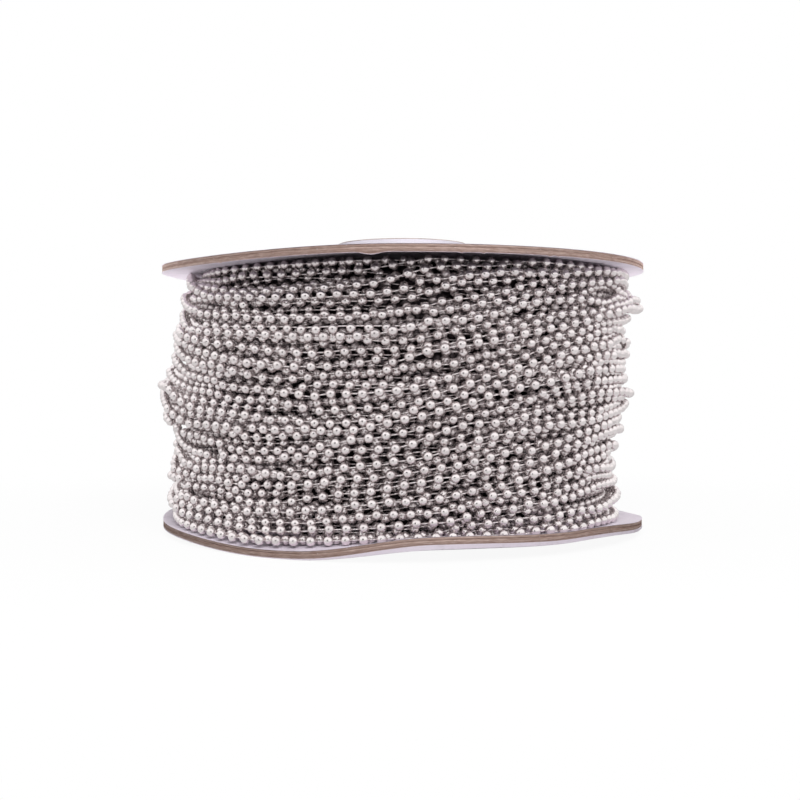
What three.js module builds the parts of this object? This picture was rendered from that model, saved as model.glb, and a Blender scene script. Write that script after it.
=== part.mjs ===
// Full reel of metal ball chain for roller blinds, standing on its lower flange.
// Millimetres, +Z up. The origin is under the middle of the core, on the surface the reel stands on.
// Angles run round the reel in degrees: 0 is the front (-Y), 90 is the right side (+X).

import * as THREE from 'three';

// Flanges: two discs die-cut from grey board, each faced on both sides with white paper
const flangeDiameter = 203.2;
const boardThickness = 2.4;
const paperThickness = 0.3;

// Inside width of the reel, from flange to flange
const traverse = 101.6;

// Core: a paper tube through both flanges, flush below and standing proud above
const coreDiameter = 56;
const coreWall = 3;
const coreProud = 10;
const coreClearance = 0.3;

// Chain: hollow beads. The outermost turns lie more than a bead apart, stay inside the flanges' rims
// and leave the layer beneath showing between them, this far in
const beadDiameter = 3.6;
const turnSpacing = 5;
const layerDrop = 2.1;
const rimMargin = 7.1;
const turnClearance = 0.6;

// Outside of one turn: points as shares of its width and of the drop to the layer beneath
const turnShape = [[0.08, 1], [0.3, 0], [0.7, 0], [0.92, 1]];

// How the first and last turns fall back from the flanges, the second as a share of the height
const cornerRounding = 3.5;
const cornerReach = 0.07;

// How far the turns climb and drop on their way round, at the middle of the reel: a long wave
// and a ripple, how many waves the ripple has, and the angle at which each starts
const turnWander = 6.5;
const turnWanderStart = 28;
const turnRipple = 3.4;
const turnRippleStart = 18;
const rippleWaves = 2;

const segments = 48;

// How far in from the rim a bend starts: where the lower flange droops, settles, lifts and curls,
// and where the upper flange bends
const droopDepth = 44;
const settleDepth = 46;
const liftDepth = 30;
const curlDepth = 20;
const upperBendDepth = 52;

// Where each flange is bent: middle and half width in degrees, and lift at the rim in mm
const rimDroop = -2.9;
const frontCurl = 4.2;
const rightCurl = 3.7;
const lowerBends = [
  { angle: -30, reach: 36, lift: rimDroop, depth: droopDepth },
  { angle: 9, reach: 31, lift: frontCurl, depth: curlDepth },
  { angle: 42, reach: 36, lift: rightCurl, depth: curlDepth },
  { angle: 30, reach: 60, lift: -1.1, depth: settleDepth },
  { angle: 105, reach: 34, lift: rimDroop, depth: droopDepth },
  { angle: 165, reach: 30, lift: 1.4, depth: liftDepth },
  { angle: -150, reach: 40, lift: rimDroop, depth: droopDepth },
];
const upperBends = [
  { angle: -50, reach: 50, lift: -1.6, depth: upperBendDepth },
  { angle: 130, reach: 55, lift: 1.2, depth: upperBendDepth },
  { angle: -140, reach: 45, lift: -1.1, depth: upperBendDepth },
];

// Where the turns stand out from the winding or sink into it: middle and half width in degrees,
// the same as shares of the winding's height, and how far out in mm
const bulges = [
  { angle: -88, reach: 52, height: 0.5, span: 0.15, out: 8.6 },
  { angle: -88, reach: 50, height: 0.71, span: 0.07, out: 2.8 },
  { angle: -82, reach: 46, height: 0.22, span: 0.07, out: 4.4 },
  { angle: -84, reach: 46, height: 0.06, span: 0.08, out: 2.6 },
  { angle: 88, reach: 50, height: 0.82, span: 0.2, out: 2.6 },
  { angle: 88, reach: 60, height: 0.18, span: 0.3, out: -1.8 },
  { angle: 172, reach: 60, height: 0.56, span: 0.24, out: 2.4 },
  { angle: -146, reach: 34, height: 0.3, span: 0.15, out: 2.6 },
];

// Rings of points across each flange, in from its rim: close together where it bends most
const lowerRings = [settleDepth, liftDepth, curlDepth, 0.65 * curlDepth, 0.325 * curlDepth];
const upperRings = [upperBendDepth, 0.5 * upperBendDepth, 0.2 * upperBendDepth];

const boardMaterial = new THREE.MeshStandardMaterial({ color: 0x9d8883, roughness: 0.95, metalness: 0 });
const paperMaterial = new THREE.MeshStandardMaterial({ color: 0xe6e1ee, roughness: 0.7, metalness: 0 });
const coreMaterial = new THREE.MeshStandardMaterial({ color: 0xe2dde8, roughness: 0.8, metalness: 0 });
const chainMaterial = new THREE.MeshStandardMaterial({ color: 0xcfc6ca, roughness: 0.2, metalness: 1 });

const flangeRadius = flangeDiameter / 2;
const coreRadius = coreDiameter / 2;
const holeRadius = coreRadius + coreClearance;
const flangeThickness = boardThickness + 2 * paperThickness;
const lowerInnerFace = flangeThickness;
const upperInnerFace = lowerInnerFace + traverse;
const upperOuterFace = upperInnerFace + flangeThickness;
const coreTop = upperOuterFace + coreProud;
const windingBottom = lowerInnerFace + turnClearance;
const windingTop = upperInnerFace - turnClearance;
const windingHeight = windingTop - windingBottom;
const windingRadius = flangeRadius - rimMargin;

function raisedCosine(offset, reach) {
  return Math.abs(offset) < reach ? 0.5 * (1 + Math.cos(Math.PI * offset / reach)) : 0;
}

function angleBetween(a, b) {
  return THREE.MathUtils.euclideanModulo(a - b + 180, 360) - 180;
}

// Height of a bent disc above its flat middle
function bendLift(bends, angle, radius) {
  let lift = 0;
  for (const bend of bends) {
    const inward = Math.max(0, 1 - (flangeRadius - radius) / bend.depth);
    lift += bend.lift * inward ** 2 * raisedCosine(angleBetween(angle, bend.angle), bend.reach);
  }
  return lift;
}

// Splits the squares of an inward run the same way as those of an outward run, so that two bent
// layers that touch share every triangle
function matchDiagonals(geometry, profile) {
  const index = [];
  for (let step = 0; step < segments; step += 1) {
    for (let i = 0; i < profile.length - 1; i += 1) {
      const a = step * profile.length + i;
      const b = a + profile.length;
      const inward = profile[i + 1][0] < profile[i][0];
      if (inward) {
        index.push(a, b, b + 1, a, b + 1, a + 1);
      } else {
        index.push(a, b, a + 1, b + 1, a + 1, b);
      }
    }
  }
  geometry.setIndex(index);
}

// Turns a closed profile round the axis and then moves each point as place(angle, radius, height) says
function turnedSolid(profile, place) {
  const points = profile.map(([radius, height]) => new THREE.Vector2(radius, height));
  const geometry = new THREE.LatheGeometry(points, segments);
  geometry.rotateX(Math.PI / 2);
  matchDiagonals(geometry, profile);
  const position = geometry.getAttribute('position');
  for (let i = 0; i < position.count; i += 1) {
    const radius = Math.hypot(position.getX(i), position.getY(i));
    const angle = Math.atan2(position.getX(i), -position.getY(i)) * THREE.MathUtils.RAD2DEG;
    const [newRadius, newHeight] = place(angle, radius, position.getZ(i));
    const scale = newRadius / radius;
    position.setXYZ(i, position.getX(i) * scale, position.getY(i) * scale, newHeight);
  }
  geometry.computeVertexNormals();
  return geometry;
}

function namedMesh(name, geometry, material) {
  const mesh = new THREE.Mesh(geometry, material);
  mesh.name = name;
  return mesh;
}

function discRadii(rings) {
  const radii = [holeRadius];
  for (const fromRim of rings) {
    radii.push(flangeRadius - fromRim);
  }
  radii.push(flangeRadius);
  return radii;
}

// One layer of a flange, from a flat sheet between two heights
function flangeLayer(radii, bottom, top, bends) {
  const under = radii.map((radius) => [radius, bottom]);
  const over = radii.map((radius) => [radius, top]).reverse();
  const profile = [...under, ...over, under[0]];
  return turnedSolid(profile, (angle, radius, height) => [
    radius,
    height + bendLift(bends, angle, radius),
  ]);
}

function makeFlange(name, rings, outerFace, outward, bends) {
  const group = new THREE.Group();
  const radii = discRadii(rings);
  const boardStart = outerFace - outward * paperThickness;
  const boardEnd = boardStart - outward * boardThickness;
  const innerFace = boardEnd - outward * paperThickness;
  const layers = [
    ['outer_paper', outerFace, boardStart, paperMaterial],
    ['board', boardStart, boardEnd, boardMaterial],
    ['inner_paper', boardEnd, innerFace, paperMaterial],
  ];
  for (const [layer, from, to, material] of layers) {
    const geometry = flangeLayer(radii, Math.min(from, to), Math.max(from, to), bends);
    group.add(namedMesh(`${name}_${layer}`, geometry, material));
  }
  return group;
}

function makeCore() {
  const innerRadius = coreRadius - coreWall;
  const profile = [
    [innerRadius, 0],
    [coreRadius, 0],
    [coreRadius, coreTop],
    [innerRadius, coreTop],
    [innerRadius, 0],
  ];
  const geometry = turnedSolid(profile, (angle, radius, height) => [radius, height]);
  return namedMesh('core_tube', geometry, coreMaterial);
}

// Radius of the outermost turns, before their grooves
function turnsRadius(angle, share) {
  let radius = windingRadius;
  for (const bulge of bulges) {
    const round = raisedCosine(angleBetween(angle, bulge.angle), bulge.reach);
    radius += bulge.out * round * raisedCosine(share - bulge.height, bulge.span);
  }
  const toEnd = Math.min(share, 1 - share);
  return radius - cornerRounding * raisedCosine(toEnd, cornerReach);
}

// Share of the winding's height, from 0 at the lower flange to 1 at the upper one
function heightShare(level) {
  return THREE.MathUtils.clamp((level - windingBottom) / windingHeight, 0, 1);
}

// How far a turn has climbed at an angle: the turns rise to the right across the front
function turnClimb(angle, share) {
  const long = (angle - turnWanderStart) * THREE.MathUtils.DEG2RAD;
  const short = rippleWaves * (angle - turnRippleStart) * THREE.MathUtils.DEG2RAD;
  const wave = turnWander * Math.sin(long) + turnRipple * Math.sin(short);
  return wave * 4 * share * (1 - share);
}

// Ridged outside of the winding: one ridge for each outermost turn
function ridgedProfile() {
  const turnCount = Math.floor(windingHeight / turnSpacing);
  const turnPitch = windingHeight / turnCount;
  const profile = [[windingRadius - layerDrop, windingBottom]];
  for (let turn = 0; turn < turnCount; turn += 1) {
    const start = windingBottom + turn * turnPitch;
    for (const [share, dropShare] of turnShape) {
      profile.push([windingRadius - dropShare * layerDrop, start + share * turnPitch]);
    }
  }
  profile.push([windingRadius - layerDrop, windingTop]);
  return profile;
}

// A point on the outside of the winding, moved to where its turn lies
function turnPoint(angle, radius, level) {
  const climbed = level + turnClimb(angle, heightShare(level));
  return [radius - windingRadius + turnsRadius(angle, heightShare(climbed)), climbed];
}

// Wound chain as one solid: every turn shows as a ridge, and the whole keeps clear of the bent flanges
function makeWinding() {
  const insideRadius = coreRadius + coreClearance;
  const ridgeStart = windingRadius - layerDrop - turnClearance;
  const endRadii = [insideRadius, 0.5 * (insideRadius + ridgeStart), ridgeStart - 2 * beadDiameter];
  const under = endRadii.map((radius) => [radius, windingBottom]);
  const over = endRadii.map((radius) => [radius, windingTop]).reverse();
  const profile = [...under, ...ridgedProfile(), ...over, under[0]];
  const geometry = turnedSolid(profile, (angle, radius, level) => {
    const onOutside = radius > ridgeStart;
    const [out, climbed] = onOutside ? turnPoint(angle, radius, level) : [radius, level];
    const lowest = lowerInnerFace + bendLift(lowerBends, angle, out) + turnClearance;
    const highest = upperInnerFace + bendLift(upperBends, angle, out) - turnClearance;
    return [out, THREE.MathUtils.clamp(climbed, lowest, highest)];
  });
  return namedMesh('chain_winding', geometry, chainMaterial);
}

const reel = new THREE.Group();
const lowerFlange = makeFlange('lower_flange', lowerRings, 0, -1, lowerBends);
reel.add(lowerFlange);
reel.add(makeFlange('upper_flange', upperRings, upperOuterFace, 1, upperBends));
reel.add(makeCore());
reel.add(makeWinding());

// The reel stands on the lowest points of its bent lower rim
reel.position.z = -new THREE.Box3().setFromObject(lowerFlange).min.z;

export default reel;
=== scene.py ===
import math
import random

import bmesh
import bpy
import numpy as np
from mathutils import Matrix, Vector, noise


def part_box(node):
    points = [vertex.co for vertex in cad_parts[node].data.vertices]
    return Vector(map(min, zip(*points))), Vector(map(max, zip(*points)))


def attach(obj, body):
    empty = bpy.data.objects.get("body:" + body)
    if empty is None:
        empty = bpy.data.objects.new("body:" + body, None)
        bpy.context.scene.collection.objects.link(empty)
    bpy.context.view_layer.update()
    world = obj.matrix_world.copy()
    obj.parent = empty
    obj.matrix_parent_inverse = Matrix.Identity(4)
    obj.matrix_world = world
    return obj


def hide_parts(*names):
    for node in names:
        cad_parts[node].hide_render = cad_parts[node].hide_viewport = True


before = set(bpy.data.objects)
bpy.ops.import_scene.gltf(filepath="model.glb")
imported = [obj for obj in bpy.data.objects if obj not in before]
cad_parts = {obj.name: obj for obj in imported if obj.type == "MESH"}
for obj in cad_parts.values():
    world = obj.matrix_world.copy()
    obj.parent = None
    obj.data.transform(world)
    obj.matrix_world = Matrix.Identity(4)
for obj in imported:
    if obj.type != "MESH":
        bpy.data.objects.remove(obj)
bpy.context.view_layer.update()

# A full reel of ball chain: the chain is wound bead by bead, the reel is bent board and paper.
# Lengths are in metres, angles run round the reel from its front (-Y) towards its right side (+X).
mm = 0.001
coreLow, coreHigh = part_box("core_tube")
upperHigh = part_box("upper_flange_board")[1]
print("frame loaded")


def raisedCosine(offset, reach):
    return np.where(np.abs(offset) < reach, 0.5 * (1 + np.cos(np.pi * offset / reach)), 0.0)


def angleBetween(a, b):
    return (a - b + 180) % 360 - 180


def angleOf(point):
    return math.degrees(math.atan2(point.x, -point.y))


# Shader nodes

def addNode(tree, kind, values=None, inputs=None):
    node = tree.nodes.new(kind)
    for key, value in (values or {}).items():
        setattr(node, key, value)
    for key, value in (inputs or {}).items():
        node.inputs[key].default_value = value
    return node


def feed(tree, value, socket):
    # value is a number, a colour or another socket
    if isinstance(value, tuple):
        socket.default_value = (*value, 1)
    elif isinstance(value, (int, float)):
        socket.default_value = value
    else:
        tree.links.new(value, socket)


def addMaths(tree, operation, first, second=0):
    node = addNode(tree, "ShaderNodeMath", {"operation": operation})
    for socket, value in zip(node.inputs, (first, second)):
        feed(tree, value, socket)
    return node.outputs[0]


def addWeighted(tree, first, firstShare, second, secondShare):
    return addMaths(tree, "ADD", addMaths(tree, "MULTIPLY", first, firstShare),
                    addMaths(tree, "MULTIPLY", second, secondShare))


def addRange(tree, value, low, high, toLow=0.0, toHigh=1.0):
    node = addNode(tree, "ShaderNodeMapRange", {"interpolation_type": "SMOOTHSTEP"})
    labels = ("Value", "From Min", "From Max", "To Min", "To Max")
    for label, source in zip(labels, (value, low, high, toLow, toHigh)):
        feed(tree, source, node.inputs[label])
    return node.outputs["Result"]


def addNoise(tree, place, scale, detail, roughness=0.5):
    node = addNode(tree, "ShaderNodeTexNoise", None, {"Detail": detail, "Roughness": roughness})
    feed(tree, scale, node.inputs["Scale"])
    tree.links.new(place, node.inputs["Vector"])
    return node.outputs["Fac"]


def addStretch(tree, place, scale):
    node = addNode(tree, "ShaderNodeMapping", None, {"Scale": scale})
    tree.links.new(place, node.inputs["Vector"])
    return node.outputs["Vector"]


def addBlend(tree, share, first, second):
    node = addNode(tree, "ShaderNodeMix", {"data_type": "RGBA"})
    for label, value in (("Factor", share), ("A", first), ("B", second)):
        feed(tree, value, node.inputs[label])
    return node.outputs["Result"]


def addBump(tree, height, strength, distance):
    node = addNode(tree, "ShaderNodeBump", None, {"Strength": strength, "Distance": distance})
    tree.links.new(height, node.inputs["Height"])
    return node.outputs["Normal"]


def addRadius(tree, place):
    # distance from the reel's axis
    flat = addNode(tree, "ShaderNodeVectorMath", {"operation": "MULTIPLY"}, {1: (1, 1, 0)})
    tree.links.new(place, flat.inputs[0])
    length = addNode(tree, "ShaderNodeVectorMath", {"operation": "LENGTH"})
    tree.links.new(flat.outputs["Vector"], length.inputs[0])
    return length.outputs["Value"]


def newGroup(name, inputs, outputs):
    # Place is a point, all the other sockets are numbers
    tree = bpy.data.node_groups.new(name, "ShaderNodeTree")
    tree.interface.new_socket("Place", in_out="INPUT", socket_type="NodeSocketVector")
    for way, labels in (("INPUT", inputs), ("OUTPUT", outputs)):
        for label in labels:
            tree.interface.new_socket(label, in_out=way, socket_type="NodeSocketFloat")
    return tree, tree.nodes.new("NodeGroupInput"), tree.nodes.new("NodeGroupOutput")


def useGroup(tree, group, place, values):
    node = addNode(tree, "ShaderNodeGroup", {"node_tree": group}, values)
    tree.links.new(place, node.inputs["Place"])
    return node


pulp = {
    "fine": (4.0, 0.65),            # detail and roughness of the fibres
    "clouds": (2.0, 0.5),
    "fineShare": 0.45,
    "cloudShare": 0.55,
    "toneRange": (0.36, 0.64),
}


def makeFibreGroup():
    # pressed paper pulp: short fibres over soft clouds
    tree, start, end = newGroup("paper_fibres", ["Fibre Scale", "Cloud Scale"], ["Tone", "Height"])
    place = start.outputs["Place"]
    fine = addNoise(tree, place, start.outputs["Fibre Scale"], *pulp["fine"])
    clouds = addNoise(tree, place, start.outputs["Cloud Scale"], *pulp["clouds"])
    mixed = addWeighted(tree, fine, pulp["fineShare"], clouds, pulp["cloudShare"])
    tree.links.new(addRange(tree, mixed, *pulp["toneRange"]), end.inputs["Tone"])
    tree.links.new(fine, end.inputs["Height"])
    return tree


smudges = {"marks": (5.0, 0.7), "range": (0.5, 0.68)}   # detail and roughness, and what shows of it


def makeHandlingGroup():
    # smudges left by hands and by the chain, more of them between two distances from the axis
    tree, start, end = newGroup("handling_marks", ["From Radius", "To Radius", "Scale"], ["Mask"])
    place = start.outputs["Place"]
    band = addRange(tree, addRadius(tree, place), start.outputs["From Radius"], start.outputs["To Radius"])
    marks = addNoise(tree, place, start.outputs["Scale"], *smudges["marks"])
    mask = addMaths(tree, "MULTIPLY", addRange(tree, marks, *smudges["range"]), band)
    tree.links.new(mask, end.inputs["Mask"])
    return tree


fibreGroup = makeFibreGroup()
handlingGroup = makeHandlingGroup()


# Materials

def newMaterial(name):
    material = bpy.data.materials.new(name)
    material.use_nodes = True
    tree = material.node_tree
    return material, tree, tree.nodes["Principled BSDF"]


def newMatte(name):
    material, tree, shader = newMaterial(name)
    shader.inputs["Roughness"].default_value = 1.0
    shader.inputs["Specular IOR Level"].default_value = 0.0
    return material, tree, shader


def objectPlace(tree):
    return tree.nodes.new("ShaderNodeTexCoord").outputs["Object"]


nickel = {
    "pale": (0.885, 0.825, 0.825),
    "dullAndShaded": (0.60, 0.54, 0.545),
    "roughness": (0.19, 0.33),
    "marks": {"Scale": 260.0, "From Radius": 0.02, "To Radius": 0.03},
    "toneShare": 0.6,
    "marksShare": 0.4,
    "dents": (900.0, 2.0),          # scale and detail
    "dentBump": (0.06, 0.1 * mm),   # strength and depth, as in each bump here
}


def makeNickel():
    # bright plated beads, each a little paler or duller than the next; the deeper layers are painted duller
    # and darker, as painted shade
    material, tree, shader = newMaterial("bright_nickel")
    place = objectPlace(tree)
    tone = addNode(tree, "ShaderNodeAttribute", {"attribute_name": "tone"}).outputs["Fac"]
    marks = useGroup(tree, handlingGroup, place, nickel["marks"]).outputs["Mask"]
    dullnessAndShade = addWeighted(tree, tone, nickel["toneShare"], marks, nickel["marksShare"])
    tree.links.new(addBlend(tree, dullnessAndShade, nickel["pale"], nickel["dullAndShaded"]), shader.inputs["Base Color"])
    tree.links.new(addRange(tree, dullnessAndShade, 0, 1, *nickel["roughness"]), shader.inputs["Roughness"])
    dents = addNoise(tree, place, *nickel["dents"])
    tree.links.new(addBump(tree, dents, *nickel["dentBump"]), shader.inputs["Normal"])
    shader.inputs["Metallic"].default_value = 1.0
    return material


shadedDeepMetal = {
    # painted shade: the deep turns' nickel, darkened for the shade they lie in
    "colour": (0.12, 0.10, 0.105),
    # painted shade: near black between the beads
    "gap": (0.012, 0.009, 0.010),
    "beadScale": 270.0,
    "gapRange": (0.2, 0.55),
    "bump": (0.6, 0.8 * mm),
    "roughness": 0.35,
}


def makeShadedDeepMetal():
    # turns deep in the winding, with painted shade: their nickel is painted dark, and near black in the gaps
    # between the beads
    material, tree, shader = newMaterial("deep_turns_painted_shade")
    cells = addNode(tree, "ShaderNodeTexVoronoi", None, {"Scale": shadedDeepMetal["beadScale"]})
    tree.links.new(objectPlace(tree), cells.inputs["Vector"])
    gapShade = addRange(tree, cells.outputs["Distance"], *shadedDeepMetal["gapRange"])
    tree.links.new(addBlend(tree, gapShade, shadedDeepMetal["colour"], shadedDeepMetal["gap"]), shader.inputs["Base Color"])
    beads = addMaths(tree, "SUBTRACT", 1.0, gapShade)
    tree.links.new(addBump(tree, beads, *shadedDeepMetal["bump"]), shader.inputs["Normal"])
    shader.inputs["Metallic"].default_value = 1.0
    shader.inputs["Roughness"].default_value = shadedDeepMetal["roughness"]
    return material


facing = {"pale": (0.80, 0.72, 0.81), "deep": (0.75, 0.67, 0.755), "rubbed": (0.46, 0.40, 0.45)}
wrapping = {"pale": (0.74, 0.72, 0.775), "deep": (0.66, 0.64, 0.69), "rubbed": (0.48, 0.46, 0.48)}
paperPaint = {
    "fibres": {"Fibre Scale": 1500.0, "Cloud Scale": 40.0},
    "marks": {"From Radius": 0.07, "To Radius": 0.1016, "Scale": 90.0},
    "marksShare": 0.35,
    "roughness": (0.5, 0.72),
    "bump": (0.25, 0.05 * mm),
}


def makePaperPaint(name, colours):
    # smooth paper, rubbed grey where the chain and hands touch it
    material, tree, shader = newMaterial(name)
    place = objectPlace(tree)
    fibres = useGroup(tree, fibreGroup, place, paperPaint["fibres"])
    marks = useGroup(tree, handlingGroup, place, paperPaint["marks"])
    colour = addBlend(tree, fibres.outputs["Tone"], colours["deep"], colours["pale"])
    share = addMaths(tree, "MULTIPLY", marks.outputs["Mask"], paperPaint["marksShare"])
    tree.links.new(addBlend(tree, share, colour, colours["rubbed"]), shader.inputs["Base Color"])
    roughness = addRange(tree, fibres.outputs["Tone"], 0, 1, *paperPaint["roughness"])
    tree.links.new(roughness, shader.inputs["Roughness"])
    tree.links.new(addBump(tree, fibres.outputs["Height"], *paperPaint["bump"]), shader.inputs["Normal"])
    return material


greyBoard = {
    "pale": (0.71, 0.56, 0.51),
    "middle": (0.53, 0.39, 0.345),
    "dark": (0.27, 0.175, 0.145),
    "split": (0.11, 0.05, 0.04),
    "fleck": (0.72, 0.66, 0.66),
    # each noise: how fine along, across and through the edge, then its detail and roughness
    "streaks": ((240.0, 6.0, 1.0), 5.0, 0.7),
    "plies": ((9.0, 3.2, 1.0), 2.0, 0.5),
    "splitWander": ((16.0, 0.0, 1.0), 3.0, 0.5),
    "splitPlaces": ((13.0, 0.0, 1.0), 1.0, 0.5),
    "flecks": ((700.0, 2.6, 1.0), 2.0, 0.6),
    "grainStretch": (1.0, 0.0024, 1.0),
    "grain": {"Fibre Scale": 1800.0, "Cloud Scale": 160.0},
    "streakShare": 0.5,
    "plyShare": 0.5,
    "toneRange": (0.36, 0.64),
    "paleRange": (0.5, 0.7),
    # shares of the board's thickness: pale corners below and above, and the split
    "bevelBelow": (0.12, 0.0),
    "bevelAbove": (0.86, 1.0),
    "bevelShare": 0.55,
    "splitHeight": 0.26,
    "wanderShare": 0.5,
    "splitWidth": (0.08, 0.02),
    "splitRange": (0.52, 0.6),
    "splitShare": 0.75,
    "fleckRange": (0.70, 0.76),
    "bump": (0.7, 0.12 * mm),
    "roughness": 0.92,
    "specular": 0.25,
}


def addEdgeNoise(tree, rim, kind):
    scale, detail, roughness = greyBoard[kind]
    return addNoise(tree, addStretch(tree, rim, scale), 1.0, detail, roughness)


def makeGreyBoard():
    # the cut edge of the board: long fibres in plies, a dark split between two of them, pale flecks
    material, tree, shader = newMaterial("grey_board")
    rim = addNode(tree, "ShaderNodeUVMap", {"uv_map": "rim"}).outputs["UV"]
    apart = addNode(tree, "ShaderNodeSeparateXYZ")
    tree.links.new(rim, apart.inputs[0])
    across = apart.outputs["Y"]
    streaks, plies = addEdgeNoise(tree, rim, "streaks"), addEdgeNoise(tree, rim, "plies")
    grain = useGroup(tree, fibreGroup, addStretch(tree, rim, greyBoard["grainStretch"]), greyBoard["grain"])
    tone = addWeighted(tree, streaks, greyBoard["streakShare"], plies, greyBoard["plyShare"])
    middling = addRange(tree, tone, *greyBoard["toneRange"])
    colour = addBlend(tree, middling, greyBoard["dark"], greyBoard["middle"])
    lift = addMaths(tree, "MULTIPLY", addRange(tree, tone, *greyBoard["paleRange"]), grain.outputs["Tone"])
    colour = addBlend(tree, lift, colour, greyBoard["pale"])
    bevelled = addMaths(tree, "MAXIMUM", addRange(tree, across, *greyBoard["bevelBelow"]),
                        addRange(tree, across, *greyBoard["bevelAbove"]))
    share = addMaths(tree, "MULTIPLY", bevelled, greyBoard["bevelShare"])
    colour = addBlend(tree, share, colour, greyBoard["pale"])
    wander = addMaths(tree, "MULTIPLY", addEdgeNoise(tree, rim, "splitWander"), greyBoard["wanderShare"])
    splitHeight = addMaths(tree, "ADD", wander, greyBoard["splitHeight"])
    fromSplit = addMaths(tree, "ABSOLUTE", addMaths(tree, "SUBTRACT", across, splitHeight))
    parted = addRange(tree, addEdgeNoise(tree, rim, "splitPlaces"), *greyBoard["splitRange"])
    split = addMaths(tree, "MULTIPLY", addRange(tree, fromSplit, *greyBoard["splitWidth"]), parted)
    share = addMaths(tree, "MULTIPLY", split, greyBoard["splitShare"])
    colour = addBlend(tree, share, colour, greyBoard["split"])
    flecks = addRange(tree, addEdgeNoise(tree, rim, "flecks"), *greyBoard["fleckRange"])
    colour = addBlend(tree, flecks, colour, greyBoard["fleck"])
    tree.links.new(colour, shader.inputs["Base Color"])
    height = addMaths(tree, "SUBTRACT", addMaths(tree, "ADD", streaks, grain.outputs["Height"]), split)
    tree.links.new(addBump(tree, height, *greyBoard["bump"]), shader.inputs["Normal"])
    shader.inputs["Roughness"].default_value = greyBoard["roughness"]
    shader.inputs["Specular IOR Level"].default_value = greyBoard["specular"]
    return material


tubeBoard = {
    "pale": (0.50, 0.42, 0.38),
    "dark": (0.30, 0.23, 0.205),
    "ply": 0.5 * mm,
    "plyShare": 0.12,
    "fibres": {"Fibre Scale": 1300.0, "Cloud Scale": 120.0},
    "fibreShare": 0.75,
    "toneRange": (0.0, 0.9),
    "bump": (0.4, 0.08 * mm),
    "roughness": 0.9,
}


def makeTubeBoard():
    # wound core board: rings of plies at its ends, plain fibres inside
    material, tree, shader = newMaterial("core_board")
    place = objectPlace(tree)
    turns = addMaths(tree, "MULTIPLY", addRadius(tree, place), 2 * math.pi / tubeBoard["ply"])
    rings = addMaths(tree, "SINE", turns)
    fibres = useGroup(tree, fibreGroup, place, tubeBoard["fibres"])
    tone = addWeighted(tree, rings, tubeBoard["plyShare"], fibres.outputs["Tone"], tubeBoard["fibreShare"])
    paleness = addRange(tree, tone, *tubeBoard["toneRange"])
    colour = addBlend(tree, paleness, tubeBoard["dark"], tubeBoard["pale"])
    tree.links.new(colour, shader.inputs["Base Color"])
    height = addMaths(tree, "ADD", rings, fibres.outputs["Height"])
    tree.links.new(addBump(tree, height, *tubeBoard["bump"]), shader.inputs["Normal"])
    shader.inputs["Roughness"].default_value = tubeBoard["roughness"]
    return material


brightNickel, shadedDeepTurns = makeNickel(), makeShadedDeepMetal()
facingPaper, wrapPaper = makePaperPaint("white_paper", facing), makePaperPaint("core_wrap", wrapping)
boardEdge, coreBoard = makeGreyBoard(), makeTubeBoard()
print("materials made")


# The reel: two flanges of board faced with paper, on a wound tube

reel = {
    "rimRadius": upperHigh.x,
    "holeRadius": coreHigh.x + 0.3 * mm,
    "thickness": 3.0 * mm,              # of a whole flange
    "paperThickness": 0.12 * mm,
    "coreRadius": coreHigh.x,
    "coreWall": 3.0 * mm,
    "lowerFace": coreLow.z,             # outer face of the lower flange where it is flat
    "upperFace": coreHigh.z - 10 * mm,  # outer face of the upper flange where it is flat
    "steps": 480,
    "fineSteps": 720,                   # where the rim is torn
    # angle, half width in degrees, lift at the rim, how far in from the rim the bend starts
    "lowerBends": [
        (-30, 36, -2.9 * mm, 44 * mm),
        (-66, 30, -0.9 * mm, 30 * mm),
        (9, 31, 4.2 * mm, 20 * mm),
        (42, 36, 3.7 * mm, 20 * mm),
        (30, 60, -1.1 * mm, 46 * mm),
        (105, 34, -2.9 * mm, 44 * mm),
        (165, 30, 1.4 * mm, 30 * mm),
        (-150, 40, -2.9 * mm, 44 * mm),
    ],
    "upperBends": [
        (-50, 50, -1.6 * mm, 52 * mm),
        (130, 55, 1.2 * mm, 52 * mm),
        (-140, 45, -1.1 * mm, 52 * mm),
    ],
    # angle, half width in degrees, height, where it is highest, half width across
    "upperSwell": (12, 66, 1.4 * mm, 88 * mm, 14 * mm),
    # rings of points across a flange, in from its rim
    "rings": [62 * mm, 48 * mm, 38 * mm, 30 * mm, 23 * mm, 17 * mm, 12 * mm, 8 * mm, 5 * mm, 2.6 * mm,
              1.2 * mm],
}
lowerInner = reel["lowerFace"] + reel["thickness"]
upperInner = reel["upperFace"] - reel["thickness"]


def bendLift(bends, angle, radius):
    lift = np.zeros(np.broadcast(angle, radius).shape)
    for middle, reach, height, depth in bends:
        inward = np.clip(1 - (reel["rimRadius"] - radius) / depth, 0, None)
        lift = lift + height * inward ** 2 * raisedCosine(angleBetween(angle, middle), reach)
    return lift


def lowerLift(angle, radius):
    return bendLift(reel["lowerBends"], angle, radius)


def upperLift(angle, radius):
    # the full winding pushes this flange up a little just inside its rim
    middle, reach, height, furthest, width = reel["upperSwell"]
    swell = height * raisedCosine(angleBetween(angle, middle), reach) * raisedCosine(radius - furthest, width)
    return bendLift(reel["upperBends"], angle, radius) + swell


# The cut edge of each flange

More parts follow.
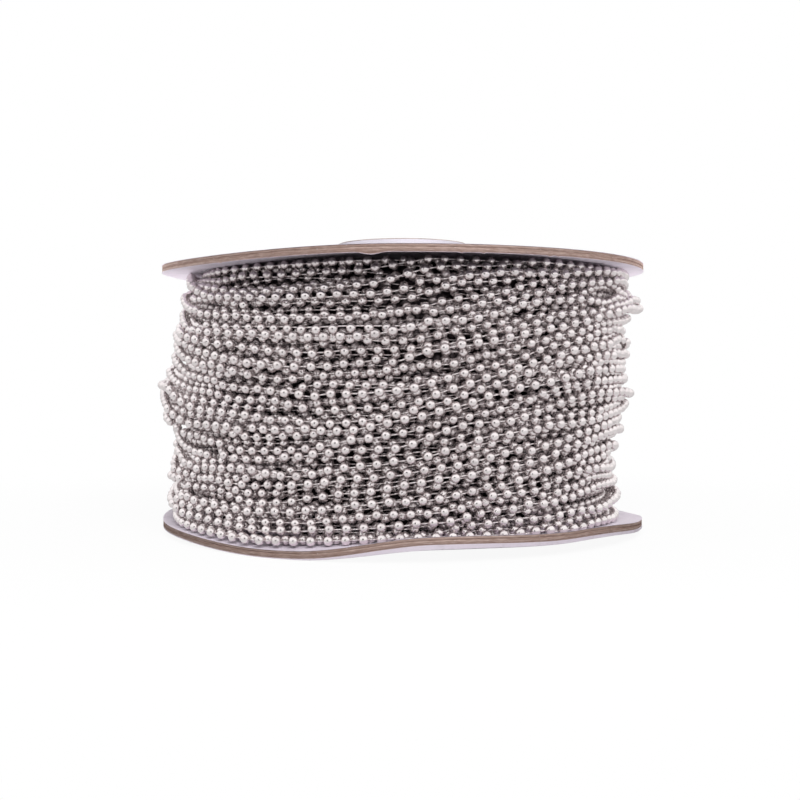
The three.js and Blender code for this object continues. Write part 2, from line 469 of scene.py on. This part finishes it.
rimEdge = {
    # share of the board's thickness, how far in from the rim: rounded corners and a groove between plies
    "section": [(0.0, 0.34), (0.04, 0.2), (0.14, 0.12), (0.3, 0.15), (0.42, 0.11), (0.55, 0.18), (0.6, 0.24),
                (0.65, 0.17), (0.8, 0.11), (0.93, 0.19), (1.0, 0.32)],
    "roughDepth": 0.6 * mm,
    "roughness": 0.09 * mm,
    "fibreScale": (900, 1600),      # along the rim and through the board
    "waviness": 0.12 * mm,
    "waveScale": 130,
    # how far the papers are cut back: at their two corners and between them
    "paperCorner": 0.1 * mm,
    "paperMiddle": 0.04 * mm,
    # angle, half width in degrees, how far the edge hangs down: a bruise and torn fibres
    "tears": [(-6.3, 3.3, 0.85 * mm), (11.5, 0.6, 0.3 * mm), (15.9, 0.6, 0.35 * mm), (31.0, 1.0, 0.4 * mm),
              (33.2, 0.6, 0.3 * mm), (-41, 0.7, 0.3 * mm), (-19, 0.6, 0.2 * mm), (74, 0.8, 0.3 * mm),
              (142, 1.6, 0.5 * mm), (-118, 1.0, 0.4 * mm)],
    "tearDepth": 2.4 * mm,
    "tearHeight": 0.3,              # share of the board's thickness that is torn
    # how far the outer paper rolls up over the edge: least, and more between two angles
    "lip": 0.08 * mm,
    "lipMore": 0.4 * mm,
    "lipFrom": -75,
    "lipReach": 70,
    "lipDepth": 0.25 * mm,
    "lipScale": 60,
    "lipSlice": 3.0,
    "lipUneven": (0.5, 0.9, 0.1),   # its usual share, how much that varies, and the least
    "lipBelow": 0.05 * mm,
    # angle, half width in degrees, how far the outer paper has come away below the board at its rim
    "loose": [(-3, 27, 1.0 * mm), (14, 30, 0.9 * mm), (42, 44, 1.1 * mm), (72, 24, 0.6 * mm)],
    "looseDepth": 9 * mm,
}


def spinProfile(profile, steps):
    bm = bmesh.new()
    ring = [bm.verts.new((0, -radius, height)) for radius, height in profile]
    edges = [bm.edges.new((ring[i], ring[(i + 1) % len(ring)])) for i in range(len(ring))]
    bmesh.ops.spin(bm, geom=ring + edges, cent=(0, 0, 0), axis=(0, 0, 1), dvec=(0, 0, 0),
                   angle=2 * math.pi, steps=steps, use_merge=True, use_duplicate=False)
    bmesh.ops.recalc_face_normals(bm, faces=bm.faces)
    return bm


def wrapRim(bm, bottom, top):
    # U runs round the rim in metres, V from 0 at the bottom to 1 at the top
    layer = bm.loops.layers.uv.new("rim")
    for face in bm.faces:
        middle = angleOf(face.calc_center_median())
        for loop in face.loops:
            turn = middle + angleBetween(angleOf(loop.vert.co), middle)
            across = (loop.vert.co.z - bottom) / (top - bottom)
            loop[layer].uv = (math.radians(turn) * reel["rimRadius"], across)


def bendDisc(bm, liftOf):
    for vert in bm.verts:
        vert.co.z += float(liftOf(angleOf(vert.co), vert.co.to_2d().length))


def setRadius(vert, wanted):
    share = wanted / vert.co.to_2d().length
    vert.co.x *= share
    vert.co.y *= share


def roughenRim(bm):
    # small waves and broken fibres along the cut edge
    along, through = rimEdge["fibreScale"]
    for vert in bm.verts:
        radius = vert.co.to_2d().length
        if radius < reel["rimRadius"] - rimEdge["roughDepth"]:
            continue
        waves = noise.noise(vert.co * rimEdge["waveScale"]) * rimEdge["waviness"]
        place = Vector((vert.co.x * along, vert.co.y * along, vert.co.z * through))
        fibres = noise.noise(place) * rimEdge["roughness"]
        setRadius(vert, min(radius - abs(waves) - abs(fibres), reel["rimRadius"]))


def hangRim(bm, places, depth, highest):
    # pulls the rim down where it is torn, bruised or loose, up to the height highest
    for vert in bm.verts:
        inward = 1 - (reel["rimRadius"] - vert.co.to_2d().length) / depth
        if inward <= 0 or vert.co.z > highest:
            continue
        for middle, reach, drop in places:
            vert.co.z -= drop * inward * float(raisedCosine(angleBetween(angleOf(vert.co), middle), reach))


def finishPiece(name, bm, material, replaced, sharpFrom=40):
    mesh = bpy.data.meshes.new(name)
    bm.to_mesh(mesh)
    bm.free()
    mesh.polygons.foreach_set("use_smooth", [True] * len(mesh.polygons))
    if sharpFrom:
        mesh.set_sharp_from_angle(angle=math.radians(sharpFrom))
    mesh.materials.append(material)
    piece = bpy.data.objects.new(name, mesh)
    bpy.context.scene.collection.objects.link(piece)
    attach(piece, "root")
    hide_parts(*replaced)


def discProfile(bottom, top, edge):
    # closed section of a disc: under side from the hole outwards, the edge, and back over the top
    radii = [reel["holeRadius"]] + [reel["rimRadius"] - ring for ring in reel["rings"]]
    under = [(radius, bottom) for radius in radii]
    over = [(radius, top) for radius in reversed(radii)]
    return under + edge + over


def makeBoard(name, bottom, liftOf, tears):
    top = bottom + reel["thickness"] - 2 * reel["paperThickness"]
    edge = [(reel["rimRadius"] - inset * mm, bottom + share * (top - bottom))
            for share, inset in rimEdge["section"]]
    bm = spinProfile(discProfile(bottom, top, edge), reel["fineSteps" if tears else "steps"])
    wrapRim(bm, bottom, top)
    roughenRim(bm)
    hangRim(bm, tears, rimEdge["tearDepth"], bottom + rimEdge["tearHeight"] * (top - bottom))
    bendDisc(bm, liftOf)
    finishPiece(name + "_board_layers", bm, boardEdge, [name + "_board"])


def makePaper(name, layer, bottom, liftOf, tears, lipSide):
    # one facing paper; lipSide is the way its rolled edge points, 0 where it is cut off square
    top = bottom + reel["paperThickness"]
    middle = 0.5 * (bottom + top)
    corner = reel["rimRadius"] - rimEdge["paperCorner"]
    edge = [(corner, bottom), (reel["rimRadius"] - rimEdge["paperMiddle"], middle), (corner, top)]
    bm = spinProfile(discProfile(bottom, top, edge), reel["fineSteps" if tears else "steps"])
    hangRim(bm, tears, rimEdge["tearDepth"], math.inf)
    if lipSide:
        rollLip(bm, top, lipSide)
        # the paper swells downwards where it is loose; its upper face stays on the board
        hangRim(bm, rimEdge["loose"], rimEdge["looseDepth"], middle)
    bendDisc(bm, liftOf)
    finishPiece(f"{name}_{layer}_facing", bm, facingPaper, [f"{name}_{layer}_paper"])


def rollLip(bm, top, side):
    # the die rolled this paper up over the cut edge of the board
    usual, varied, least = rimEdge["lipUneven"]
    scale, level = rimEdge["lipScale"], rimEdge["lipSlice"]
    for vert in bm.verts:
        radius = vert.co.to_2d().length
        if radius < reel["rimRadius"] - rimEdge["lipDepth"]:
            continue
        angle = angleOf(vert.co)
        more = float(raisedCosine(angleBetween(angle, rimEdge["lipFrom"]), rimEdge["lipReach"]))
        uneven = usual + varied * noise.noise(Vector((vert.co.x * scale, vert.co.y * scale, level)))
        lip = (rimEdge["lip"] + rimEdge["lipMore"] * more) * max(uneven, least)
        if side * (vert.co.z - top) > -rimEdge["lipBelow"]:
            vert.co.z += side * lip


def makeFlanges():
    paper = reel["paperThickness"]
    lower, upper = reel["lowerFace"], upperInner
    makePaper("lower_flange", "outer", lower, lowerLift, [], 1)
    makeBoard("lower_flange", lower + paper, lowerLift, [])
    makePaper("lower_flange", "inner", lowerInner - paper, lowerLift, [], 0)
    makePaper("upper_flange", "inner", upper, upperLift, rimEdge["tears"], 0)
    makeBoard("upper_flange", upper + paper, upperLift, rimEdge["tears"])
    makePaper("upper_flange", "outer", reel["upperFace"] - paper, upperLift, [], 0)
    print("flanges made")


tube = {
    "wrapThickness": 0.25 * mm,
    "cutLine": 0.35 * mm,       # grey board that shows above the wrap
    "seamPitch": 62 * mm,       # height of one turn of the spiral seam
    "seamWidth": 1.2 * mm,
    "seamStep": 0.12 * mm,
    "seamFade": 6,              # widths over which the step dies away
    "onWall": 0.02 * mm,        # how near to a wall its points lie
    "steps": 120,
    "rise": 1.6 * mm,           # height between two rings of points
    "boreChamfer": (0.35 * mm, 0.4 * mm),   # across and deep
    "foot": 0.3 * mm,           # chamfers outside, below and above
    "head": 0.2 * mm,
}


def markSeam(bm, radius, outward):
    # a low step that runs up the tube like a screw thread, where one strip overlaps the next
    for vert in bm.verts:
        own = vert.co.to_2d().length
        if abs(own - radius) > tube["onWall"]:
            continue
        along = (vert.co.z + angleOf(vert.co) / 360 * tube["seamPitch"]) % tube["seamPitch"]
        step = tube["seamStep"] * max(0.0, 1 - along / (tube["seamFade"] * tube["seamWidth"]))
        setRadius(vert, own - outward * (tube["seamStep"] - step))


def wallPoints(radius, low, high):
    count = max(2, round((high - low) / tube["rise"]))
    return [(radius, low + (high - low) * i / count) for i in range(count + 1)]


def makeTube():
    outer, low, high = reel["coreRadius"], coreLow.z, coreHigh.z
    inner = outer - reel["coreWall"]
    boardOuter = outer - tube["wrapThickness"]
    foot, head, (across, deep) = tube["foot"], tube["head"], tube["boreChamfer"]
    inside = list(reversed(wallPoints(inner, low + deep, high - deep)))
    profile = [(inner + across, low), (boardOuter - foot, low), (boardOuter, low + foot),
               (boardOuter, high - head), (boardOuter - head, high), (inner + across, high)]
    bm = spinProfile(profile + inside, tube["steps"])
    markSeam(bm, inner, -1)
    finishPiece("core_tube_board", bm, coreBoard, ["core_tube"])
    outside = wallPoints(outer, low + foot, high - tube["cutLine"])
    wrap = [(boardOuter, high - tube["cutLine"]), (boardOuter, low + foot)]
    bm = spinProfile(outside + wrap, tube["steps"])
    markSeam(bm, outer, 1)
    finishPiece("core_tube_wrap", bm, wrapPaper, ["core_tube"])
    print("core tube made")


# The chain: where it lies

winding = {
    "bead": 3.6 * mm,
    "pitch": 6.0 * mm,
    "rod": 0.66 * mm,
    # turns in each layer from the inside out, and the share of the climb that the layer has
    "layers": [(24, -0.6), (22, 0.3), (21, 0.7), (20, 1.15)],
    "layerRise": 2.95 * mm,
    "outerRadius": 94.1 * mm,
    "endClearance": 0.1 * mm,
    # waves in a turn, how far they lift it, the angle at which they start
    "climb": [(1, 6.5 * mm, 28), (2, 3.4 * mm, 18)],
    # the top turns hang below the flange here: angle, half width, how far
    "hang": (-20, 82, 7.5 * mm),
    # waves in a turn that aren't the same in the next one, and how far they lift it
    "drift": [(0.93, 1.5 * mm), (2.06, 1.2 * mm), (3.11, 0.8 * mm), (5.2, 0.45 * mm), (9.3, 0.2 * mm)],
    "strays": 4,          # places in each layer where the chain strays over its neighbours
    "strayMost": 4.5 * mm,
    "strayShare": (0.4, 1),
    "strayReach": (0.08, 0.22),   # in turns
    "evenEnds": 6,        # the higher, the nearer to the flanges the turns keep their climb
    "stretch": 48,        # beads and rods that are laid at a time
    "near": (2.2, 8),     # what a stretch can touch: beads up and down, degrees to each side
    "settles": 7,
    "nudge": 0.45 * mm,
    "slideShare": 0.4,    # share of the slope that a settling bead slides
    "slideReach": 3,
    "pulls": 24,
    "slack": 0.01 * mm,
    "seed": 7,
    # angle, half width in degrees, height and half width as shares of the winding, how far out
    "bulges": [
        (-88, 52, 0.49, 0.17, 11.5 * mm),
        (-88, 50, 0.71, 0.07, 2.8 * mm),
        (-82, 46, 0.22, 0.07, 4.4 * mm),
        (-84, 46, 0.06, 0.08, 2.6 * mm),
        (-38, 52, 0.0, 0.11, 4.0 * mm),
        (50, 40, 0.0, 0.11, 2.0 * mm),
        (88, 50, 0.82, 0.2, 2.6 * mm),
        (88, 60, 0.18, 0.3, -1.8 * mm),
        (172, 60, 0.56, 0.24, 2.4 * mm),
        (-146, 34, 0.3, 0.15, 2.6 * mm),
    ],
    "cornerRounding": 3.5 * mm,
    "cornerReach": 0.07,
}
windHeight = upperInner - lowerInner
windDepth = (len(winding["layers"]) - 1) * winding["layerRise"] + winding["bead"] / 2
halfPitch = 0.5 * winding["pitch"]


def turnAngle(along):
    # each layer begins at the back
    return 360 * along + 180


def turnsRadius(angle, level):
    share = np.clip((level - lowerInner) / windHeight, 0, 1)
    radius = winding["outerRadius"] + np.zeros(np.shape(share))
    for middle, reach, height, span, out in winding["bulges"]:
        across = raisedCosine(angleBetween(angle, middle), reach)
        radius = radius + out * across * raisedCosine(share - height, span)
    toEnd = np.minimum(share, 1 - share)
    return radius - winding["cornerRounding"] * raisedCosine(toEnd, winding["cornerReach"])


def planLayer(number, draw):
    turns, lean = winding["layers"][number]
    waves = [(speed, size, draw.uniform(0, 2 * math.pi)) for speed, size in winding["drift"]]
    strays = []
    for _ in range(winding["strays"]):
        middle, reach = draw.uniform(1, turns - 1), draw.uniform(*winding["strayReach"])
        size = draw.uniform(*winding["strayShare"]) * winding["strayMost"] * draw.choice((-1, 1))
        strays.append((middle, reach, size))
    return {"turns": turns, "lean": lean, "upwards": number % 2 == 0, "waves": waves, "strays": strays}


def routeLevel(plan, along):
    # height at which the chain would lie after so many turns of a layer, before it settles
    share = np.clip(along / plan["turns"], 0, 1)
    share = share if plan["upwards"] else 1 - share
    angle = turnAngle(along)
    lift = np.zeros(len(along))
    for waves, size, start in winding["climb"]:
        lift = lift + plan["lean"] * size * np.sin(waves * np.radians(angle - start))
    middle, reach, depth = winding["hang"]
    hang = max(plan["lean"], 0) ** 2 * depth * raisedCosine(angleBetween(angle, middle), reach)
    level = lowerInner + (windHeight - hang) * share
    level = level + lift * (1 - (2 * share - 1) ** winding["evenEnds"])
    for speed, size, start in plan["waves"]:
        level = level + size * np.sin(2 * np.pi * speed * along + start)
    for middle, reach, size in plan["strays"]:
        level = level + size * raisedCosine(along - middle, reach)
    return level


def holdBetweenFlanges(angle, level, radius):
    gap = winding["bead"] / 2 + winding["endClearance"]
    lowest = lowerInner + lowerLift(angle, radius) + gap
    highest = upperInner + upperLift(angle, radius) - gap
    return np.clip(level, lowest, highest)


def restOn(angle, level, size, floor, laid):
    # lowest radius at which each bead or rod lies on what is already wound
    turn = np.radians(angle)[:, None] - np.radians(laid[:, 0])[None, :]
    reach = size[:, None] + laid[:, 3][None, :]
    spare = reach ** 2 - (laid[:, 2] * np.sin(turn)) ** 2 - (level[:, None] - laid[:, 1]) ** 2
    touching = spare > 0
    height = laid[:, 2] * np.cos(turn) + np.sqrt(np.where(touching, spare, 0))
    return np.maximum(floor, np.where(touching, height, 0).max(axis=1, initial=0))


def evened(values, reach):
    kernel = np.ones(2 * reach + 1) / (2 * reach + 1)
    return np.convolve(np.pad(values, reach, mode="edge"), kernel, mode="valid")


def layStretch(angle, level, size, floor, usual, laid, lastRadius):
    # slides each stretch into the grooves beneath it, then pulls it taut over what it rests on
    nudge = winding["nudge"]
    for _ in range(winding["settles"]):
        level = holdBetweenFlanges(angle, level, usual)
        above = restOn(angle, level + nudge, size, floor, laid)
        below = restOn(angle, level - nudge, size, floor, laid)
        slide = np.clip(winding["slideShare"] * (below - above), -nudge, nudge)
        level = level + evened(slide, winding["slideReach"])
    level = holdBetweenFlanges(angle, level, usual)
    rest = restOn(angle, level, size, floor, laid)
    radius = np.concatenate([[lastRadius or rest[0]], rest, [rest[-1]]])
    for _ in range(winding["pulls"]):
        middle = 0.5 * (radius[:-2] + radius[2:]) - winding["slack"]
        radius[1:-1] = np.maximum(rest, middle)
    return level, radius[1:-1]


def windLayer(number, draw, laid, last):
    # last holds how far the end of the chain has slid from its route, and its radius
    plan = planLayer(number, draw)
    fromTop = len(winding["layers"]) - 1 - number
    sunk = fromTop * winding["layerRise"] + winding["bead"] / 2
    beadsNear, degreesNear = winding["near"]
    size = np.tile([winding["bead"] / 2, winding["rod"] / 2], winding["stretch"] // 2)
    along, placed = 0.0, []
    while along < plan["turns"]:
        steps = np.arange(1, winding["stretch"] + 1)
        guess = along + steps * halfPitch / (2 * math.pi * winding["outerRadius"])
        radius = turnsRadius(turnAngle(guess), routeLevel(plan, guess)) - sunk
        turned = along + np.cumsum(halfPitch / (2 * math.pi * radius))
        turned = turned[turned <= plan["turns"]]
        if len(turned) < 2:
            break
        angle, level = turnAngle(turned), routeLevel(plan, turned)
        wanted = level + last["slid"] * np.linspace(1, 0, len(level))
        usual = turnsRadius(angle, wanted) - sunk
        floor = usual + sunk - windDepth
        reach = np.abs(wanted - wanted.mean()).max() + beadsNear * winding["bead"]
        near = laid[np.abs(laid[:, 1] - wanted.mean()) < reach]
        spread = 180 * (turned[-1] - turned[0]) + degreesNear
        near = near[np.abs(angleBetween(near[:, 0], angle.mean())) < spread]
        own = size[:len(turned)]
        settled, radius = layStretch(angle, wanted, own, floor, usual, near, last["radius"])
        last["slid"], last["radius"] = settled[-1] - level[-1], radius[-1]
        rows = np.column_stack([angle % 360, settled, radius, own])
        placed.append(rows)
        laid = np.vstack([laid, rows])
        along = turned[-1]
    return np.vstack(placed), laid


def windChain():
    draw = random.Random(winding["seed"])
    laid, last, layers = np.zeros((0, 4)), {"slid": 0.0, "radius": None}, []
    for number in range(len(winding["layers"])):
        rows, laid = windLayer(number, draw, laid, last)
        layers.append(rows)
        print("layer", number + 1, "laid:", len(rows) // 2, "beads")
    return layers


def asPoints(rows):
    turn = np.radians(rows[:, 0])
    return np.column_stack([rows[:, 2] * np.sin(turn), -rows[:, 2] * np.cos(turn), rows[:, 1]])


# The chain: its beads and rods

strands = {
    "perPiece": 1650,     # beads in one piece
    "roundness": 1.05,    # makes up for the flat faces of a bead
    "rodLength": 0.55,    # share of the pitch, so that each rod ends inside its beads
    "rodSides": 5,
    "deepDetails": (8, 4),
    "outerDetails": (10, 6),
    # painted shade: the deeper layers draw duller, darker tones than the outer ones
    "deepShadedTones": (0.45, 1.0),
    "outerTones": (0.0, 0.4),
    "outerLayers": 2,
}


def beadShape(details):
    bm = bmesh.new()
    bmesh.ops.create_uvsphere(bm, u_segments=details[0], v_segments=details[1],
                              radius=strands["roundness"] * winding["bead"] / 2)
    return asShape("bead", bm)


def rodShape():
    bm = bmesh.new()
    bmesh.ops.create_cone(
        bm, segments=strands["rodSides"], radius1=winding["rod"] / 2, radius2=winding["rod"] / 2,
        depth=strands["rodLength"] * winding["pitch"], cap_ends=True, cap_tris=False)
    return asShape("rod", bm)


def asShape(name, bm):
    shape = bpy.data.meshes.new(name)
    bm.to_mesh(shape)
    bm.free()
    shape.attributes.new("tone", "FLOAT", "POINT")
    return shape


def addCopies(bm, shape, points, courses, toneAndShadeRange, draw):
    # one copy of a shape on every point, along the way that the chain runs there, with a tone of its own; the
    # tones of the deeper layers are darker, as painted shade
    for point, course in zip(points, courses):
        turned = Vector(course).to_track_quat("Z", "Y").to_matrix().to_4x4()
        place = Matrix.Translation(point) @ turned
        tone = draw.uniform(*toneAndShadeRange)
        shape.attributes["tone"].data.foreach_set("value", [tone] * len(shape.vertices))
        shape.transform(place)
        bm.from_mesh(shape)
        shape.transform(place.inverted())


def makeChain(layers):
    draw = random.Random(winding["seed"] + 1)
    number = 0
    for layer, rows in enumerate(layers):
        points = asPoints(rows)
        courses = np.gradient(points, axis=0)
        outer = layer >= len(layers) - strands["outerLayers"]
        toneAndShadeRange = strands["outerTones" if outer else "deepShadedTones"]
        bead = beadShape(strands["outerDetails" if outer else "deepDetails"])
        rod = rodShape()
        for start in range(0, len(points), 2 * strands["perPiece"]):
            number += 1
            part = slice(start, start + 2 * strands["perPiece"])
            bm = bmesh.new()
            addCopies(bm, bead, points[part][0::2], courses[part][0::2], toneAndShadeRange, draw)
            addCopies(bm, rod, points[part][1::2], courses[part][1::2], toneAndShadeRange, draw)
            finishPiece(f"chain_turns_{number}", bm, brightNickel, ["chain_winding"], 0)
    print("chain pieces made:", number)


bed = {
    "below": 1.0 * mm,    # how far below the middles of the deepest beads it lies
    "endGap": 0.7 * mm,
    "coreGap": 0.4 * mm,
    "rings": 44,
    "steps": 120,
}


def makeBed():
    # the turns still deeper, as one drum painted dark as shade
    deep = windDepth + bed["below"]
    levels = np.linspace(lowerInner + bed["endGap"], upperInner - bed["endGap"], bed["rings"])
    inside, outside = reel["coreRadius"] + bed["coreGap"], winding["outerRadius"] - deep
    profile = [(outside, level) for level in levels]
    bm = spinProfile(profile + [(inside, levels[-1]), (inside, levels[0])], bed["steps"])
    for vert in bm.verts:
        if vert.co.to_2d().length > 0.5 * (inside + outside):
            setRadius(vert, float(turnsRadius(angleOf(vert.co), vert.co.z)) - deep)
    finishPiece("winding_bed", bm, shadedDeepTurns, ["chain_winding"])


makeFlanges()
makeTube()
makeBed()
makeChain(windChain())


# Camera

view = {
    "distance": 0.499,
    "height": 67.3 * mm,
    "aside": -1.1 * mm,
    "pitch": 1.54,
    "lens": 52.0,
    "sensor": 36,
    "nearest": 0.01,
}
cameraData = bpy.data.cameras.new("camera")
cameraData.lens = view["lens"]
cameraData.sensor_width = view["sensor"]
cameraData.clip_start = view["nearest"]
camera = bpy.data.objects.new("camera", cameraData)
camera.location = (view["aside"], -view["distance"], view["height"])
camera.rotation_euler = (math.radians(90 - view["pitch"]), 0, 0)
bpy.context.scene.collection.objects.link(camera)
bpy.context.scene.camera = camera


# Floor and light

studio = {
    "floorSize": 30.0,
    "floorPale": (0.9, 0.9, 0.9),      # as the camera sees it
    "floorDim": (0.012, 0.011, 0.012), # as it lights the reel
    "floorWhite": 0.93,                # share of plain white in the floor near the reel
    "shadowReach": (0.13, 0.32),
    "surroundSpan": (-0.8, 0.8),       # from front to back
    "surroundFront": 0.3,
    "surroundBack": 0.75,
    "topPower": 8.2,
    "topSize": 0.7,
    "topPlace": (0.1, -0.72, 0.66),
    "mirroredHigh": 1.1,               # how bright the surround is in the beads from above,
    "mirroredSpan": (0.0, 0.5),
    "mirroredLow": 0.92,               # from the side
    "mirroredFloor": 0.76,             # and from the floor
    "passedOn": 0.12,                  # how much of that the beads throw on the paper
    "sidePower": 1.6,
    "sideSize": 0.3,
    "sideAside": 0.3,
    "sideBack": 0.1,
    "sideHeight": mm,
    "sparkPower": 0.15,
    "sparkSize": 0.09,
    "sparkPlace": (-0.02, -0.56, 0.085),
    "darkRadius": 155 * mm,
    "darkPlace": (-0.13, -0.52, 0.115),
    "darkCloth": (0.06, 0.055, 0.055),
    "discSides": 64,
    "aim": 55 * mm,
}


def mirroredShare(tree, path, brightness):
    # how bright the surround is along a ray: dimmer where the ray left paper or board before it met a bead
    bounced = addMaths(tree, "MINIMUM", path.outputs["Diffuse Depth"], 1.0)
    passed = addRange(tree, bounced, 0, 1, brightness, studio["passedOn"])
    return addMaths(tree, "MULTIPLY", path.outputs["Is Glossy Ray"], passed)


def makeFloorPaint():
    # pale paint that the camera sees as near white, with the object's shadow left in it
    material, tree, shader = newMatte("floor_paint")
    far = addNode(tree, "ShaderNodeVectorMath", {"operation": "LENGTH"})
    tree.links.new(objectPlace(tree), far.inputs[0])
    fade = addRange(tree, far.outputs["Value"], *studio["shadowReach"], studio["floorWhite"], 1.0)
    path = tree.nodes.new("ShaderNodeLightPath")
    tree.links.new(addBlend(tree, path.outputs["Is Camera Ray"], studio["floorDim"], studio["floorPale"]),
                   shader.inputs["Base Color"])
    seen = addMaths(tree, "MULTIPLY", fade, path.outputs["Is Camera Ray"])
    share = addMaths(tree, "MAXIMUM", seen, path.outputs["Is Glossy Ray"])
    glow = addNode(tree, "ShaderNodeEmission")
    mirrored = mirroredShare(tree, path, studio["mirroredFloor"])
    strength = addMaths(tree, "MAXIMUM", path.outputs["Is Camera Ray"], mirrored)
    tree.links.new(strength, glow.inputs["Strength"])
    mix = tree.nodes.new("ShaderNodeMixShader")
    tree.links.new(share, mix.inputs["Fac"])
    tree.links.new(shader.outputs["BSDF"], mix.inputs[1])
    tree.links.new(glow.outputs["Emission"], mix.inputs[2])
    tree.links.new(mix.outputs["Shader"], tree.nodes["Material Output"].inputs["Surface"])
    return material


def makeDark():
    # what stands behind the camera: only the beads mirror it, as the dark spot in each of them
    material, _, shader = newMatte("dark_cloth")
    shader.inputs["Base Color"].default_value = (*studio["darkCloth"], 1)
    return material


def addStageDisc(name, radius, material):
    bm = bmesh.new()
    bmesh.ops.create_circle(bm, cap_ends=True, segments=studio["discSides"], radius=radius)
    mesh = bpy.data.meshes.new(name)
    bm.to_mesh(mesh)
    bm.free()
    mesh.materials.append(material)
    disc = bpy.data.objects.new(name, mesh)
    bpy.context.scene.collection.objects.link(disc)
    return disc


def aimAtReel(thing, place, axis):
    thing.location = place
    aim = Vector((0, 0, studio["aim"])) - Vector(place)
    thing.rotation_euler = aim.to_track_quat(axis, "Y").to_euler()


def addDark():
    disc = addStageDisc("dark_cloth", studio["darkRadius"], makeDark())
    aimAtReel(disc, studio["darkPlace"], "Z")
    disc.visible_camera = False
    disc.visible_diffuse = False
    disc.visible_shadow = False


def addWorld():
    # white to the camera and in the beads; softer light on paper and board, with less of it from the front
    world = bpy.data.worlds.new("studio")
    bpy.context.scene.world = world
    world.use_nodes = True
    tree = world.node_tree
    background = tree.nodes["Background"]
    background.inputs["Color"].default_value = (1, 1, 1, 1)
    direction = addNode(tree, "ShaderNodeSeparateXYZ")
    tree.links.new(tree.nodes.new("ShaderNodeTexCoord").outputs["Generated"], direction.inputs[0])
    around = addRange(tree, direction.outputs["Y"], *studio["surroundSpan"],
                      studio["surroundFront"], studio["surroundBack"])
    path = tree.nodes.new("ShaderNodeLightPath")
    height = addRange(tree, direction.outputs["Z"], *studio["mirroredSpan"],
                      studio["mirroredLow"], studio["mirroredHigh"])
    mirrored = addMaths(tree, "MULTIPLY", mirroredShare(tree, path, 1.0), height)
    seen = addMaths(tree, "MAXIMUM", path.outputs["Is Camera Ray"], mirrored)
    tree.links.new(addMaths(tree, "MAXIMUM", seen, around), background.inputs["Strength"])


def addLamp(name, power, size, place, upwards=False, mirrored=False):
    data = bpy.data.lights.new(name, "AREA")
    data.energy = power
    data.size = size
    lamp = bpy.data.objects.new(name, data)
    lamp.visible_glossy = mirrored
    if upwards:
        lamp.location = place
        lamp.rotation_euler = (math.pi, 0, 0)
    else:
        aimAtReel(lamp, place, "-Z")
    bpy.context.scene.collection.objects.link(lamp)


addStageDisc("floor", studio["floorSize"], makeFloorPaint())
addDark()
addWorld()
addLamp("top_softbox", studio["topPower"], studio["topSize"], studio["topPlace"])
for side, name in ((-1, "left_panel"), (1, "right_panel")):
    place = (side * studio["sideAside"], studio["sideBack"], studio["sideHeight"])
    addLamp(name, studio["sidePower"], studio["sideSize"], place, upwards=True)
addLamp("small_spark", studio["sparkPower"], studio["sparkSize"], studio["sparkPlace"], mirrored=True)
print("studio made")

bpy.context.scene.view_settings.view_transform = "Standard"
